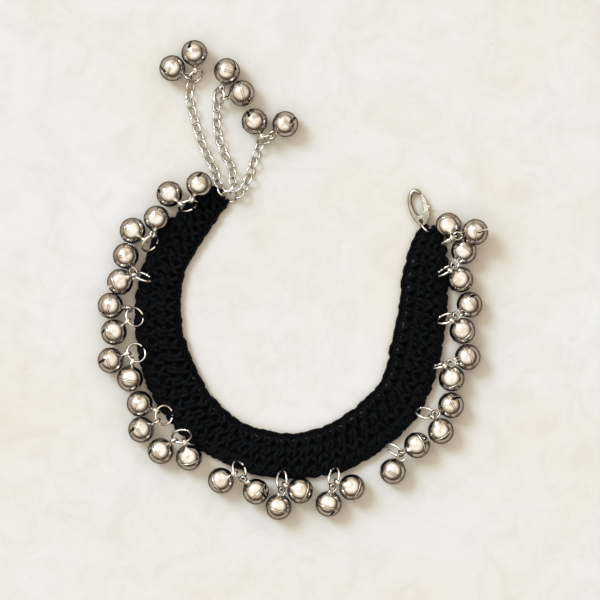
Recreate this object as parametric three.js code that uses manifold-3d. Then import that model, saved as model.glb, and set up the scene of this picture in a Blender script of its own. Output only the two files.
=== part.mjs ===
// A crocheted thread choker hung with small round bells, lying open and flat.
// Millimetres, +Z up. The origin is under the middle of the whole piece, on the surface it lies on.
// +Y runs from the front of the collar to its open ends, +X is to the right.
import * as THREE from "three";
import { mergeVertices } from "three/addons/utils/BufferGeometryUtils.js";
import Module from "manifold-3d";

const wasm = await Module();
wasm.setup();

// Crocheted band
const BAND_THICKNESS = 5.4;
const BAND_UNDERSIDE_INSET = 1.4; // how far the flat underside stays in from each edge
const BAND_STEPS = 56; // sections along the band
const THREADING_CLEARANCE = 0.3; // room that the thread leaves round a jump ring

// Bells: two pressed shells rolled together at a rim, a slot below and a strap above
const BELL_RADIUS = 6.1;
const BELL_RIM_RADIUS = 6.45;
const BELL_CAVITY_RADIUS = 5.0;
const BELL_NECK_TOP = 7.3;
const BELL_FACETS = 8;
const BELL_HEIGHT = 6.5; // of the bell's centre above the surface
const SLOT_WIDTH = 1.1;
const SLOT_TOP = -1.8; // the slot ends this far below the rim
const STRAP_INNER_LENGTH = 4.8;
const STRAP_INNER_WIDTH = 3.2;
const STRAP_THICKNESS = 0.55;
const STRAP_WIDTH = 1.0;
const STRAP_REACH = 9.2; // from the bell's centre to the middle of the wire it hangs on
const STRAP_PLAY = 0.8; // between that wire and the far end of the strap

// Jump rings
const RING_RADIUS = 4.15; // to the middle of the wire
const BAND_RING_RADIUS = 4.7; // the same for the rings along the band
const RING_WIRE_RADIUS = 0.6;
const END_RING_LEANS = { least: -40, most: 40, step: 5 };
const END_RING_TURNS = { least: -24, most: 24, step: 8 };
const END_HOOK_ANGLES = { least: -45, most: 120, step: 5 }; // round the ring at a chain's end
const HOOK_SPACING = 40; // degrees on the ring between its two straps
const EASY_SKEW = 33; // degrees by which a strap's hole may be off the wire at no cost
const WANTED_RISE = 5.4; // of a hooking place above its bell's centre
const RISE_COST = 0.5; // for each millimetre short of that
const CROSSING_COST = 4.0; // for a strap that points over the ring instead of away from it
const SKEW_COST = 0.15; // how much each further degree counts, in millimetres off the bell's place
const BURIED_COST = 1.2; // for each millimetre that a hooking place lies inside the band's outline
const TOUCH_COST = 8.0; // for each millimetre by which a bell is in its ring or in its pair
const TOUCH_GAP = 0.2;
const STRAP_GAP = 3.1; // wanted between the middle lines of the two straps on a ring

// Chains
const LINK_HALF_LENGTH = 2.52; // to the middle of the wire
const LINK_HALF_WIDTH = 2.3;
const LINK_WIRE_RADIUS = 0.5;
const LINK_PITCH = 4.25;
const LINK_TWIST = 45; // degrees, one way and the other in turn
const JOINED_OFFSET = 1.62; // link centre to a ring's wire where the two are joined
const LOOSE_OFFSET = 1.3; // the same where the link only hangs on the ring

// Lobster clasp, in its own frame: +Y to the nose of the claw, +X to the side with the lever
const CLASP_THICKNESS = 2.8;
const LEVER_THICKNESS = 1.0;
const FORK_GAP = 1.6; // between the two cheeks that hold the lever
const PIN_RADIUS = 0.55;
const PIN_HOLE_RADIUS = 0.85;
const PIN_PLACE = [3.1, -4.3];
const EYE_PLACE = [0, -7.1];
const EYE_RADIUS = 1.2;
const CLASP_PLACE = [63.2, 36.7, 2.4];
const CLASP_HEADING = 10; // degrees anticlockwise from +Y
const CLASP_ROLL = -8; // degrees about its own length

// Middle line of the band from the chain end to the clasp end.
const BAND_ROWS = [
  // x, y, width
  [-31.4, 42.2, 7.4],
  [-35.5, 40.2, 12.0],
  [-40.7, 36.8, 14.8],
  [-47.0, 28.5, 16.4],
  [-55.2, 19.0, 19.6],
  [-60.2, 8.3, 19.6],
  [-63.2, -3.0, 20.0],
  [-64.0, -14.7, 21.4],
  [-63.2, -27.0, 22.0],
  [-60.0, -39.0, 23.4],
  [-55.2, -51.0, 23.8],
  [-48.2, -61.8, 22.4],
  [-38.8, -71.0, 21.8],
  [-27.4, -78.2, 20.4],
  [-14.7, -82.8, 20.8],
  [-1.5, -84.5, 20.8],
  [11.5, -83.4, 21.6],
  [24.0, -79.8, 22.6],
  [35.0, -73.5, 23.2],
  [45.0, -65.5, 23.4],
  [53.0, -56.5, 23.2],
  [58.0, -45.5, 22.8],
  [60.9, -34.3, 23.2],
  [62.8, -24.0, 22.8],
  [64.4, -13.8, 22.4],
  [65.2, -3.2, 21.4],
  [66.4, 8.0, 19.8],
  [67.4, 18.6, 16.0],
  [68.2, 23.8, 10.6],
  [68.9, 27.2, 6.0],
];

// Jump rings threaded through the band's outer edge: middle, heading and lean in degrees, and the height of
// the lowest place of the wire's middle line. Then, for each bell, the place round the ring where its strap
// hooks on, in degrees from the heading, and where the bell lies.
const RING_ROWS = [
  // x, y, heading, lean, low, a's hook, a x, a y, b's hook, b x, b y
  [-49.8, 37.3, 199, -28, 3.9, 55, -59, 43, 120, -44.4, 47.6],
  [-68.4, 19, 225, -36, 3.9, 80, -77.4, 25.4, 140, -65.4, 30.2],
  [-72.1, 2.6, 158, 20, 3.9, -10, -80.4, 13, 40, -82.2, 0.4],
  [-76, -17.1, 115, 55, 3.9, 15, -85.8, -12, 95, -86.2, -24.6],
  [-75.2, -34.6, 127, 60, 3.9, 65, -87.8, -38.4, 115, -78.2, -46.8],
  [-61.6, -65.2, 269, -60, 3.9, 115, -73.4, -59.6, 55, -73, -72.4],
  [-53, -75.4, 5, -40, 3.9, 140, -64, -83.2, 75, -49.4, -86],
  [-24.8, -92, 295, -35, 3.9, 85, -34.2, -97.4, 10, -16.8, -102.4],
  [-4, -96.9, 266, 30, 3.9, 15, -5.8, -110.8, 65, 5, -102],
  [21.5, -95.4, 258, 30, 3.9, 15, 18.8, -108.8, 70, 30.2, -100.4],
  [51.2, -82.2, 327, 25, 3.9, -5, 50.4, -92.4, 45, 62.2, -79.8],
  [66.2, -64.1, 349, -29, 3.9, 45, 73.8, -73, -5, 78.6, -60.4],
  [74.1, -40.7, 17, -8, 3, 75, 79.4, -47.8, 15, 86.2, -37],
  [76.5, -17.9, 19, -25, 3.9, 65, 84.9, -24.4, 10, 87, -11.8],
  [76.1, 5.6, 32, -15, 3.9, 70, 84, 0.6, 10, 83.8, 13.2],
  [78, 20.4, 27, 5, 3.9, 30, 88.8, 24, 75, 76.8, 30.8],
];

// Chains from the ring at the band's end. Each ends in a ring with two bells, a and b.
const CHAIN_ROWS = [
  // route: x, y, z after the hook on the tip ring; heading and rise are the end ring's
  {
    name: "chain_left",
    links: 14,
    tipAngle: 140,
    route: [[-35.0, 47.4, 5.6], [-36.2, 52.4, 2.5], [-38.8, 58.4, 2.5], [-42.4, 66.0, 2.5],
      [-45.4, 74.5, 2.5], [-47.6, 82.6, 2.5], [-49.4, 90.0, 2.5], [-48.6, 97.0, 2.5], [-46.0, 104.0, 2.5]],
    heading: 72,
    rise: 30,
    bells: [[-57.6, 104.6], [-46.8, 111.6]],
  },
  {
    name: "chain_middle",
    links: 11,
    tipAngle: 75,
    route: [[-28.0, 50.0, 3.8], [-29.0, 56.4, 2.5], [-32.8, 64.2, 2.5], [-35.4, 73.0, 2.5],
      [-36.0, 82.0, 2.5], [-35.6, 90.0, 2.5], [-34.0, 98.0, 2.5]],
    heading: 72,
    rise: 22,
    bells: [[-31.0, 102.6], [-24.0, 92.2]],
  },
  {
    name: "chain_right",
    links: 7,
    tipAngle: 10,
    route: [[-22.0, 47.0, 3.6], [-19.6, 53.4, 2.5], [-17.2, 60.4, 2.5], [-14.6, 67.4, 2.5],
      [-11.5, 74.0, 2.5]],
    heading: 60,
    rise: 45,
    bells: [[-17.4, 78.6], [-2.4, 77.2]],
  },
];
const TIP_RING = { place: [-29.8, 41.9, 4.3], heading: 0, rise: 0, lean: 38 };
const CLASP_RING = { place: [66.5, 26.7, 3.7], heading: 133, rise: 0, lean: 20, radius: 2.9, wire: 0.5 };

// Bells that lie on their neighbours instead of on the surface, by the height of their centres.
const RAISED_BELLS = { bell_01b: 8.6, bell_16a: 11.4 };

const METAL = { color: 0xc9c7c2, roughness: 0.22, metalness: 1.0 };
const DARKER_METAL = { color: 0xaeaca6, roughness: 0.3, metalness: 1.0 };
const THREAD = { color: 0x121113, roughness: 0.95, metalness: 0.0 };

const bellNames = (stem) => [`${stem}a`, `${stem}b`];
const radians = THREE.MathUtils.degToRad;
const vector = (x, y, z = 0) => new THREE.Vector3(x, y, z);

// The geometry as a manifold-3d solid, without the flat triangles that a lathe leaves on its axis.
function solidOf(geometry) {
  const plain = geometry.clone();
  plain.deleteAttribute("normal");
  plain.deleteAttribute("uv");
  const merged = mergeVertices(plain, 1e-3);
  const corners = merged.index.array;
  const kept = [];
  for (let i = 0; i < corners.length; i += 3) {
    const [a, b, c] = corners.slice(i, i + 3);
    if (a !== b && b !== c && c !== a) kept.push(a, b, c);
  }
  return new wasm.Manifold(
    new wasm.Mesh({
      numProp: 3,
      vertProperties: merged.attributes.position.array,
      triVerts: new Uint32Array(kept),
    }),
  );
}

function geometryOf(solid) {
  const mesh = solid.getMesh();
  const geometry = new THREE.BufferGeometry();
  geometry.setAttribute("position", new THREE.BufferAttribute(mesh.vertProperties, 3));
  geometry.setIndex(new THREE.BufferAttribute(mesh.triVerts, 1));
  return geometry;
}

const group = new THREE.Group();

function addMesh(name, geometry, finish) {
  const mesh = new THREE.Mesh(geometry, new THREE.MeshStandardMaterial(finish));
  mesh.name = name;
  group.add(mesh);
  return mesh;
}

// A ring's own axes: u points out along its heading and rise, v is its other direction, tilted by its lean.
function ringFrame({ place, heading, rise, lean, radius = RING_RADIUS }) {
  const h = radians(heading);
  const flat = vector(Math.cos(h), Math.sin(h));
  const side = vector(-Math.sin(h), Math.cos(h));
  const up = vector(0, 0, 1);
  const u = flat.clone().multiplyScalar(Math.cos(radians(rise))).addScaledVector(up, Math.sin(radians(rise)));
  const steep = flat.clone().multiplyScalar(-Math.sin(radians(rise)));
  steep.addScaledVector(up, Math.cos(radians(rise)));
  const v = steep.multiplyScalar(Math.cos(radians(lean))).addScaledVector(side, Math.sin(radians(lean)));
  return { centre: vector(...place), u, v, normal: u.clone().cross(v), radius };
}

function ringPoint(frame, degrees) {
  const angle = radians(degrees);
  return frame.centre
    .clone()
    .addScaledVector(frame.u, frame.radius * Math.cos(angle))
    .addScaledVector(frame.v, frame.radius * Math.sin(angle));
}

function ringTangent(frame, degrees) {
  const angle = radians(degrees);
  return frame.v.clone().multiplyScalar(Math.cos(angle)).addScaledVector(frame.u, -Math.sin(angle));
}

function ringGeometry(frame, wireRadius, around = 6, along = 14) {
  const geometry = new THREE.TorusGeometry(frame.radius, wireRadius, around, along);
  const placed = new THREE.Matrix4().makeBasis(frame.u, frame.v, frame.normal).setPosition(frame.centre);
  return geometry.applyMatrix4(placed);
}

// Discs that together fill the band's outline: x, y, width.
const BAND_OUTLINE = (() => {
  const line = new THREE.CatmullRomCurve3(BAND_ROWS.map(([x, y, width]) => vector(x, y, width)), false, "centripetal");
  return line.getPoints(240).map(({ x, y, z }) => [x, y, z]);
})();

// The band: a strip along a smooth curve, flat below, crowned above and full at its edges.
function bandSolid() {
  const line = new THREE.CatmullRomCurve3(BAND_ROWS.map(([x, y]) => vector(x, y)), false, "centripetal");
  const widths = new THREE.CatmullRomCurve3(
    BAND_ROWS.map(([, , width], i) => vector(i, width)),
    false,
    "centripetal",
  );
  const rows = [];
  for (let i = 0; i <= BAND_STEPS; i++) {
    const t = i / BAND_STEPS;
    const place = line.getPoint(t);
    const tangent = line.getTangent(t);
    const across = vector(-tangent.y, tangent.x);
    const half = widths.getPoint(t).y / 2;
    const thick = BAND_THICKNESS * Math.min(1, 0.72 + half / 30);
    const section = [
      [-(half - BAND_UNDERSIDE_INSET), 0],
      [half - BAND_UNDERSIDE_INSET, 0],
      [half, 0.38 * thick],
      [half - 0.5, 0.76 * thick],
      [half - 1.8, 0.93 * thick],
      [0, thick],
      [-(half - 1.8), 0.93 * thick],
      [-(half - 0.5), 0.76 * thick],
      [-half, 0.38 * thick],
    ];
    rows.push(section.map(([s, z]) => place.clone().addScaledVector(across, s).setZ(z)));
  }
  return solidOf(loftGeometry(rows));
}

// A closed body through equal sections, each a loop of points, with a flat fan over each end.
function loftGeometry(rows) {
  const count = rows[0].length;
  const positions = rows.flat().flatMap((p) => [p.x, p.y, p.z]);
  const index = [];
  for (let i = 0; i + 1 < rows.length; i++) {
    for (let j = 0; j < count; j++) {
      const a = i * count + j;
      const b = i * count + ((j + 1) % count);
      index.push(a, b, b + count, a, b + count, a + count);
    }
  }
  const last = (rows.length - 1) * count;
  for (let j = 1; j + 1 < count; j++) {
    index.push(0, j + 1, j, last, last + j, last + j + 1);
  }
  const geometry = new THREE.BufferGeometry();
  geometry.setAttribute("position", new THREE.Float32BufferAttribute(positions, 3));
  geometry.setIndex(index);
  return geometry;
}

// A bell in its own frame: the strap is at +Y, the slot at -Y, and the strap's hole looks along Z.
function bellGeometry() {
  const onSphere = (radius, degrees) =>
    new THREE.Vector2(radius * Math.cos(radians(degrees)), radius * Math.sin(radians(degrees)));
  const outline = [
    new THREE.Vector2(0, -BELL_RADIUS),
    onSphere(BELL_RADIUS, -58),
    onSphere(BELL_RADIUS, -26),
    new THREE.Vector2(BELL_RIM_RADIUS, 0),
    onSphere(BELL_RADIUS, 26),
    onSphere(BELL_RADIUS, 56),
    new THREE.Vector2(0, BELL_NECK_TOP),
  ];
  const hollow = [
    new THREE.Vector2(0, -BELL_CAVITY_RADIUS),
    new THREE.Vector2(BELL_CAVITY_RADIUS, 0),
    new THREE.Vector2(0, BELL_CAVITY_RADIUS),
  ];
  const slotDepth = BELL_RIM_RADIUS + SLOT_TOP + 1;
  const slot = new THREE.BoxGeometry(2.4 * BELL_RADIUS, slotDepth, SLOT_WIDTH);
  slot.translate(0, SLOT_TOP - slotDepth / 2, 0);
  return geometryOf(
    solidOf(new THREE.LatheGeometry(outline, BELL_FACETS))
      .add(solidOf(strapGeometry()))
      .subtract(solidOf(new THREE.LatheGeometry(hollow, 4)))
      .subtract(solidOf(slot)),
  );
}

function strapGeometry() {
  const oval = (halfWidth, halfLength) => {
    const points = [];
    for (let i = 0; i < 6; i++) {
      const angle = radians(60 * i + 30);
      points.push(new THREE.Vector2(halfWidth * Math.cos(angle), halfLength * Math.sin(angle)));
    }
    return points;
  };
  const halfWidth = STRAP_INNER_WIDTH / 2;
  const halfLength = STRAP_INNER_LENGTH / 2;
  const shape = new THREE.Shape(oval(halfWidth + STRAP_THICKNESS, halfLength + STRAP_THICKNESS));
  shape.holes.push(new THREE.Path(oval(halfWidth, halfLength)));
  const strap = new THREE.ExtrudeGeometry(shape, { depth: STRAP_WIDTH, bevelEnabled: false });
  const farEnd = STRAP_REACH + RING_WIRE_RADIUS + STRAP_PLAY;
  return strap.translate(0, farEnd - halfLength, -STRAP_WIDTH / 2);
}

// All values of a range with its least and most.
function valuesOf({ least, most, step }) {
  const values = [];
  for (let value = least; value <= most; value += step) values.push(value);
  return values;
}

// How far a place lies inside the band's outline, in millimetres.
function depthInBand({ x, y }) {
  let depth = 0;
  for (const [px, py, width] of BAND_OUTLINE) {
    depth = Math.max(depth, width / 2 - Math.hypot(x - px, y - py));
  }
  return depth;
}

// A bell wanted at x, y, hooked on the ring at the given angle: where it comes to lie, and how well.
function hungAt(frame, degrees, name, [x, y]) {
  const height = RAISED_BELLS[name] ?? BELL_HEIGHT;
  const hook = ringPoint(frame, degrees);
  const level = vector(x - hook.x, y - hook.y);
  const reach = Math.sqrt(STRAP_REACH ** 2 - (hook.z - height) ** 2);
  const miss = Math.abs(level.length() - reach);
  level.setLength(reach);
  const centre = vector(hook.x + level.x, hook.y + level.y, height);
  const axis = hook.clone().sub(centre).normalize();
  const along = ringTangent(frame, degrees);
  const skew = THREE.MathUtils.radToDeg(Math.asin(Math.abs(along.dot(axis))));
  const outward = hook.clone().sub(frame.centre).normalize();
  let gap = Infinity;
  for (let angle = 0; angle < 360; angle += 15) gap = Math.min(gap, ringPoint(frame, angle).distanceTo(centre));
  const cost =
    miss +
    SKEW_COST * Math.max(0, skew - EASY_SKEW) +
    RISE_COST * Math.max(0, height + WANTED_RISE - hook.z) +
    BURIED_COST * depthInBand(hook) +
    TOUCH_COST * Math.max(0, BELL_RIM_RADIUS + RING_WIRE_RADIUS + TOUCH_GAP - gap) +
    CROSSING_COST * Math.max(0, axis.dot(outward));
  return { name, degrees, centre, axis, along, cost };
}

// How near the middle lines of two straps come to each other.
function strapGap(a, b) {
  const places = (bell) => [7.4, 8.3, 9.2, 10.1].map((reach) => bell.centre.clone().addScaledVector(bell.axis, reach));
  const others = places(b);
  return Math.min(...places(a).map((place) => Math.min(...others.map((other) => place.distanceTo(other)))));
}

// A ring with its two bells: the frame, of those given with their costs, and the two hooking places that suit the bells best.
function dressedRing(frames, hookAngles, names, places) {
  let best = null;
  for (const { frame, cost: frameCost } of frames) {
    const [first, second] = names.map((name, i) =>
      valuesOf(hookAngles).map((degrees) => hungAt(frame, degrees, name, places[i])),
    );
    for (const a of first) {
      for (const b of second) {
        if (Math.abs(a.degrees - b.degrees) < HOOK_SPACING) continue;
        let cost = frameCost + a.cost + b.cost;
        if (best && cost >= best.cost) continue;
        cost += TOUCH_COST * Math.max(0, 2 * BELL_RIM_RADIUS + TOUCH_GAP - a.centre.distanceTo(b.centre));
        if (best && cost >= best.cost) continue;
        cost += TOUCH_COST * Math.max(0, STRAP_GAP - strapGap(a, b));
        if (!best || cost < best.cost) best = { cost, frame, bells: [a, b] };
      }
    }
  }
  return best;
}

function addBell({ name, centre, axis, along }, geometry) {
  const hole = along.clone().addScaledVector(axis, -along.dot(axis)).normalize();
  const side = axis.clone().cross(hole);
  const placed = new THREE.Matrix4().makeBasis(side, axis, hole).setPosition(centre);
  addMesh(name, geometry, METAL).applyMatrix4(placed);
}

// The cross direction of a link that lies along its route, turned about it.
function linkAcross(tangent, twist) {
  const side = vector(-tangent.y, tangent.x).normalize();
  const over = tangent.clone().cross(side);
  return side.multiplyScalar(Math.cos(radians(twist))).addScaledVector(over, Math.sin(radians(twist)));
}

function linkGeometry(place, tangent, across) {
  const link = new THREE.TorusGeometry(LINK_HALF_LENGTH, LINK_WIRE_RADIUS, 4, 8);
  link.scale(1, LINK_HALF_WIDTH / LINK_HALF_LENGTH, 1);
  const placed = new THREE.Matrix4().makeBasis(tangent, across, tangent.clone().cross(across));
  return link.applyMatrix4(placed.setPosition(place));
}

// A chain as one solid: its links, and the ring at its end that carries its bells.
function chainSolid(row, tip, joined) {
  const start = ringPoint(tip, row.tipAngle);
  const points = [start, ...row.route.map((place) => vector(...place))];
  const curve = new THREE.CatmullRomCurve3(points, false, "centripetal");
  curve.arcLengthDivisions = 400;
  const length = curve.getLength();
  let solid = null;
  let place = null;
  let tangent = null;
  for (let i = 0; i < row.links; i++) {
    const t = ((joined ? JOINED_OFFSET : LOOSE_OFFSET) + i * LINK_PITCH) / length;
    place = curve.getPointAt(t);
    tangent = curve.getTangentAt(t);
    const across = i
      ? linkAcross(tangent, i % 2 ? LINK_TWIST : -LINK_TWIST)
      : ringTangent(tip, row.tipAngle).cross(tangent).normalize();
    const link = solidOf(linkGeometry(place, tangent, across));
    solid = solid ? solid.add(link) : link;
  }
  const wire = place.clone().addScaledVector(tangent, JOINED_OFFSET);
  const frames = valuesOf(END_RING_TURNS).flatMap((turn) =>
    valuesOf(END_RING_LEANS).map((lean) => {
      const frame = ringFrame({ place: [0, 0, 0], heading: row.heading + turn, rise: row.rise, lean });
      frame.centre = wire.clone().addScaledVector(frame.u, RING_RADIUS);
      const low = frame.centre.z - RING_RADIUS * Math.hypot(frame.u.z, frame.v.z) - RING_WIRE_RADIUS;
      return { frame, cost: BURIED_COST * 10 * Math.max(0, 0.1 - low) };
    }),
  );
  const names = bellNames(row.name.replace("chain", "bell") + "_");
  const { frame, bells } = dressedRing(frames, END_HOOK_ANGLES, names, row.bells);
  return { solid: solid.add(solidOf(ringGeometry(frame, RING_WIRE_RADIUS))), bells };
}

// Clasp body: a claw that runs from the eye up one side and over the nose, and a fork for the lever.
function claspBodySolid() {
  const outer = new THREE.Shape();
  outer.moveTo(1.4, -9.1);
  outer.bezierCurveTo(4.2, -7.4, 5.3, -3.6, 4.9, -2.6);
  outer.lineTo(1.6, -2.6);
  outer.bezierCurveTo(1.0, -4.4, 0.2, -4.8, -0.8, -4.2);
  outer.bezierCurveTo(-3.6, -1.2, -4.2, 6.6, -0.6, 7.4);
  outer.lineTo(1.5, 6.0);
  outer.lineTo(2.4, 7.0);
  outer.bezierCurveTo(1.2, 8.8, 0.2, 9.3, -0.8, 9.2);
  outer.bezierCurveTo(-6.6, 8.0, -6.0, -3.0, -1.6, -8.6);
  outer.bezierCurveTo(-1.0, -9.4, 0.6, -9.6, 1.4, -9.1);
  const eye = new THREE.Path();
  eye.absarc(...EYE_PLACE, EYE_RADIUS, 0, 2 * Math.PI, true);
  outer.holes.push(eye);
  const plate = new THREE.ExtrudeGeometry(outer, {
    depth: CLASP_THICKNESS,
    bevelEnabled: false,
    curveSegments: 6,
  });
  plate.translate(0, 0, -CLASP_THICKNESS / 2);
  const fork = new THREE.BoxGeometry(5.4, 3.6, FORK_GAP).translate(3.5, -3.9, 0);
  const pin = new THREE.CylinderGeometry(PIN_RADIUS, PIN_RADIUS, CLASP_THICKNESS - 0.4, 8);
  pin.rotateX(Math.PI / 2).translate(...PIN_PLACE, 0);
  return solidOf(plate).subtract(solidOf(fork)).add(solidOf(pin));
}

// Lever: the gate that closes the claw, its thumb piece and the boss on the pin.
function leverGeometry() {
  const outline = new THREE.Shape();
  outline.moveTo(2.2, -5.2);
  outline.bezierCurveTo(3.4, -5.9, 4.4, -5.0, 4.3, -3.6);
  outline.lineTo(4.6, -1.4);
  outline.lineTo(6.0, -0.9);
  outline.lineTo(5.9, -0.1);
  outline.lineTo(4.6, 0.0);
  outline.bezierCurveTo(4.4, 2.6, 3.6, 4.6, 2.6, 5.9);
  outline.lineTo(1.7, 5.3);
  outline.bezierCurveTo(2.2, 2.8, 2.2, -0.4, 1.9, -3.6);
  outline.bezierCurveTo(1.7, -4.4, 1.8, -4.9, 2.2, -5.2);
  const hole = new THREE.Path();
  hole.absarc(...PIN_PLACE, PIN_HOLE_RADIUS, 0, 2 * Math.PI, true);
  outline.holes.push(hole);
  const lever = new THREE.ExtrudeGeometry(outline, {
    depth: LEVER_THICKNESS,
    bevelEnabled: false,
    curveSegments: 5,
  });
  return lever.translate(0, 0, -LEVER_THICKNESS / 2);
}

// The rings that pass through the band, with the bells on them.
const claspRing = ringFrame(CLASP_RING);
const tipRing = ringFrame(TIP_RING);
const bandRings = RING_ROWS.map(([x, y, heading, lean, low, aHook, ax, ay, bHook, bx, by], i) => {
  const number = String(i + 1).padStart(2, "0");
  const place = [x, y, low + BAND_RING_RADIUS * Math.cos(radians(lean))];
  const frame = ringFrame({ place, heading, rise: 0, lean, radius: BAND_RING_RADIUS });
  const [aName, bName] = bellNames(`bell_${number}`);
  const bells = [hungAt(frame, aHook, aName, [ax, ay]), hungAt(frame, bHook, bName, [bx, by])];
  return { name: `jump_ring_${number}`, frame, bells };
});

// The band, with a channel for each ring.
let band = bandSolid();
for (const frame of [...bandRings.map((ring) => ring.frame), tipRing]) {
  band = band.subtract(solidOf(ringGeometry(frame, RING_WIRE_RADIUS + THREADING_CLEARANCE, 5, 12)));
}
band = band.subtract(solidOf(ringGeometry(claspRing, CLASP_RING.wire + THREADING_CLEARANCE, 5, 12)));
addMesh("band", geometryOf(band), THREAD);

// Metal pieces.
const bell = bellGeometry();
for (const { name, frame, bells } of bandRings) {
  addMesh(name, ringGeometry(frame, RING_WIRE_RADIUS, 5, 12), METAL);
  bells.forEach((hung) => addBell(hung, bell));
}

for (const row of CHAIN_ROWS) {
  const holdsTip = row.name === "chain_middle";
  const { solid, bells } = chainSolid(row, tipRing, holdsTip);
  const whole = holdsTip ? solid.add(solidOf(ringGeometry(tipRing, RING_WIRE_RADIUS))) : solid;
  addMesh(row.name, geometryOf(whole), METAL);
  bells.forEach((hung) => addBell(hung, bell));
}

const claspPlaced = new THREE.Matrix4()
  .makeRotationZ(radians(CLASP_HEADING))
  .multiply(new THREE.Matrix4().makeRotationY(radians(CLASP_ROLL)))
  .setPosition(...CLASP_PLACE);
const ringInClasp = ringGeometry(claspRing, CLASP_RING.wire, 5, 12);
ringInClasp.applyMatrix4(claspPlaced.clone().invert());
const claspBody = addMesh("clasp_body", geometryOf(claspBodySolid().add(solidOf(ringInClasp))), METAL);
const claspLever = addMesh("clasp_lever", leverGeometry(), DARKER_METAL);
for (const mesh of [claspBody, claspLever]) {
  mesh.applyMatrix4(claspPlaced);
}

// The origin is under the middle of the whole piece.
const middle = new THREE.Box3().setFromObject(group, true).getCenter(vector(0, 0)).setZ(0);
for (const mesh of group.children) mesh.position.sub(middle);

export default group;
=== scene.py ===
"""A crocheted black thread choker hung with small round bells, lying open on a pale plaster surface."""

import math
import random

import bpy
import numpy as np
from mathutils import Matrix, Vector


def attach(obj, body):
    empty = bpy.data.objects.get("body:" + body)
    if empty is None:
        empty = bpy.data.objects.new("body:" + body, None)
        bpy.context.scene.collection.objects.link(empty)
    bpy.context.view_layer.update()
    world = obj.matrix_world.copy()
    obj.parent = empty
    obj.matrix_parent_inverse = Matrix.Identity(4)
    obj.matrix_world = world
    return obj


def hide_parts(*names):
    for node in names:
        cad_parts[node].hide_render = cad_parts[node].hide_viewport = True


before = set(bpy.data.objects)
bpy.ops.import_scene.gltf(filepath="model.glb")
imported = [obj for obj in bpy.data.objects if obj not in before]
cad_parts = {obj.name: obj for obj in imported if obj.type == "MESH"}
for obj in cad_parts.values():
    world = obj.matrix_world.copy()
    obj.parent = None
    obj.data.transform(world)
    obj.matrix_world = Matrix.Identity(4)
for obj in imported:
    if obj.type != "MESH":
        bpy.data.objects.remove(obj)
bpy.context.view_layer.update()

MM = 0.001
THREAD_UV = "along"  # name of the map that runs along each tube
TARNISH_SHADE_AND_REFLECTION = "tarnish_shade_and_reflection"  # name of the bells' point attribute that says how brown their colour is painted: partly tarnish and partly painted shade beside the rim, a painted reflection on the lower shell
PRESSED_BELOW = 0.5  # height under which thread is squashed by the surface, mm
MIDDLE = np.array([-1.2909, -0.9305, 0.0])  # the part centres itself by this much

# ---------------------------------------------------------------- the part's own tables, in millimetres

BAND_THICKNESS = 5.4
# the band's middle line and width: x, y, width
BAND_ROWS = [
    (-31.4, 42.2, 7.4), (-35.5, 40.2, 12.0), (-40.7, 36.8, 14.8), (-47.0, 28.5, 16.4),
    (-55.2, 19.0, 19.6), (-60.2, 8.3, 19.6), (-63.2, -3.0, 20.0), (-64.0, -14.7, 21.4),
    (-63.2, -27.0, 22.0), (-60.0, -39.0, 23.4), (-55.2, -51.0, 23.8), (-48.2, -61.8, 22.4),
    (-38.8, -71.0, 21.8), (-27.4, -78.2, 20.4), (-14.7, -82.8, 20.8), (-1.5, -84.5, 20.8),
    (11.5, -83.4, 21.6), (24.0, -79.8, 22.6), (35.0, -73.5, 23.2), (45.0, -65.5, 23.4),
    (53.0, -56.5, 23.2), (58.0, -45.5, 22.8), (60.9, -34.3, 23.2), (62.8, -24.0, 22.8),
    (64.4, -13.8, 22.4), (65.2, -3.2, 21.4), (66.4, 8.0, 19.8), (67.4, 18.6, 16.0),
    (68.2, 23.8, 10.6), (68.9, 27.2, 6.0),
]
# name, links, where it leaves the tip ring (degrees), route after that, where along it the first link is
CHAIN_ROWS = [
    ("chain_left", 14, 140, [(-35.0, 47.4, 5.6), (-36.2, 52.4, 2.5), (-38.8, 58.4, 2.5), (-42.4, 66.0, 2.5),
     (-45.4, 74.5, 2.5), (-47.6, 82.6, 2.5), (-49.4, 90.0, 2.5), (-48.6, 97.0, 2.5), (-46.0, 104.0, 2.5)], 1.3),
    ("chain_middle", 11, 75, [(-28.0, 50.0, 3.8), (-29.0, 56.4, 2.5), (-32.8, 64.2, 2.5), (-35.4, 73.0, 2.5),
     (-36.0, 82.0, 2.5), (-35.6, 90.0, 2.5), (-34.0, 98.0, 2.5)], 1.62),
    ("chain_right", 7, 10, [(-22.0, 47.0, 3.6), (-19.6, 53.4, 2.5), (-17.2, 60.4, 2.5), (-14.6, 67.4, 2.5),
     (-11.5, 74.0, 2.5)], 1.3),
]
RING_RADIUS, BAND_RING_RADIUS, RING_WIRE = 4.15, 4.7, 0.6  # rings on the chains and on the band, and their wire
LINK_HALF_LENGTH, LINK_HALF_WIDTH, LINK_WIRE, LINK_PITCH, LINK_TWIST = 2.52, 2.3, 0.5, 4.25, 45
END_OFFSET = 1.62  # from the middle of a chain's last link to the wire of the ring it holds
STRAP_REACH, BELL_TIP = 9.2, 11.15  # from a bell's centre to the ring in its strap, and to the strap's tip
SAME_CORNER = 0.3  # points of the part closer than this are one corner
TIP_RING = dict(place=(-29.8, 41.9, 4.3), heading=0, rise=0, lean=38)
CLASP_RING = dict(place=(66.5, 26.7, 3.7), heading=133, rise=0, lean=20)
CLASP_RING_RADIUS, CLASP_RING_WIRE = 2.9, 0.5
CLASP_PLACE, CLASP_HEADING, CLASP_ROLL = (63.2, 36.7, 2.4), 10, -8
PIN_PLACE, EYE_PLACE = (3.1, -4.3), (0.0, -7.1)
PIN_HOLE, EYE_HOLE = 0.72, 1.2
CHEEK_HEIGHT = 1.10  # how far each cheek of the clasp is from its middle plane


# ---------------------------------------------------------------- geometry helpers

def unit(v):
    v = np.asarray(v, float)
    return v / np.linalg.norm(v, axis=-1, keepdims=True)


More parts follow.
